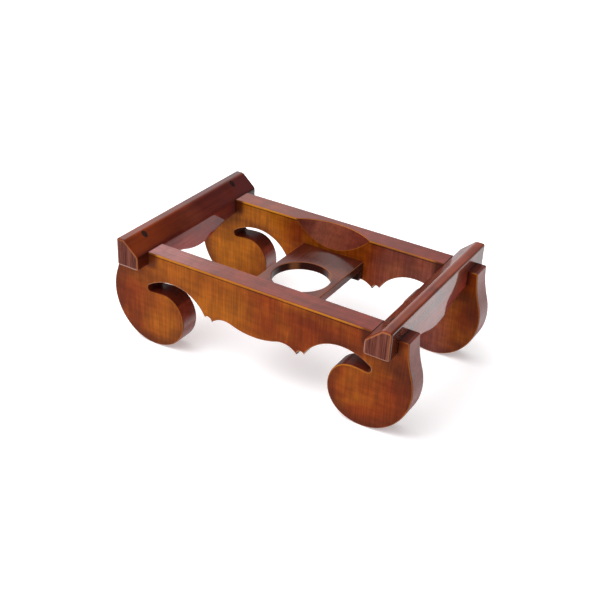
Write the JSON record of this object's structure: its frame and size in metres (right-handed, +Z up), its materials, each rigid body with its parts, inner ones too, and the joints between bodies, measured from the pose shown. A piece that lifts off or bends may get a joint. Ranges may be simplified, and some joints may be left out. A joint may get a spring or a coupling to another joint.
{
  "type": "cello stand",
  "caption": "Low wooden cello stand: two scroll-footed side boards, bevelled cradle bars that hold the lower bout, and a centre plate with a round endpin hole.",
  "frame": {"origin": "on the floor under the middle of the stand", "axes": "+X along the side boards, +Y towards the board with the scoop, +Z up"},
  "size_m": [0.352, 0.216, 0.1243],
  "materials": {
    "board_lacquer": "high-gloss amber-brown lacquer over figured hardwood",
    "bar_lacquer": "high-gloss dark red-brown lacquer over hardwood",
    "plate_lacquer": "high-gloss brown lacquer over hardwood",
    "plug_wood": "dark wooden plug, lacquered over",
    "screw_steel": "plain steel wood screw"
  },
  "bodies": {
    "root": {"bar_screw_back_left": "screw_steel", "bar_screw_back_right": "screw_steel", "bar_screw_front_left": "screw_steel", "bar_screw_front_right": "screw_steel", "cleat_screw_back_left": "screw_steel", "cleat_screw_back_right": "screw_steel", "cleat_screw_front_left": "screw_steel", "cleat_screw_front_right": "screw_steel", "cradle_bar_left": "bar_lacquer", "cradle_bar_right": "bar_lacquer", "endpin_plate": "plate_lacquer", "plate_cleat_back": "plate_lacquer", "plate_cleat_front": "plate_lacquer", "plate_screw_back_left": "screw_steel", "plate_screw_back_right": "screw_steel", "plate_screw_front_left": "screw_steel", "plate_screw_front_right": "screw_steel", "screw_plug_back_left": "plug_wood", "screw_plug_back_right": "plug_wood", "screw_plug_front_left": "plug_wood", "screw_plug_front_right": "plug_wood", "side_board_back": "board_lacquer", "side_board_front": "board_lacquer"}
  },
  "joints": []
}
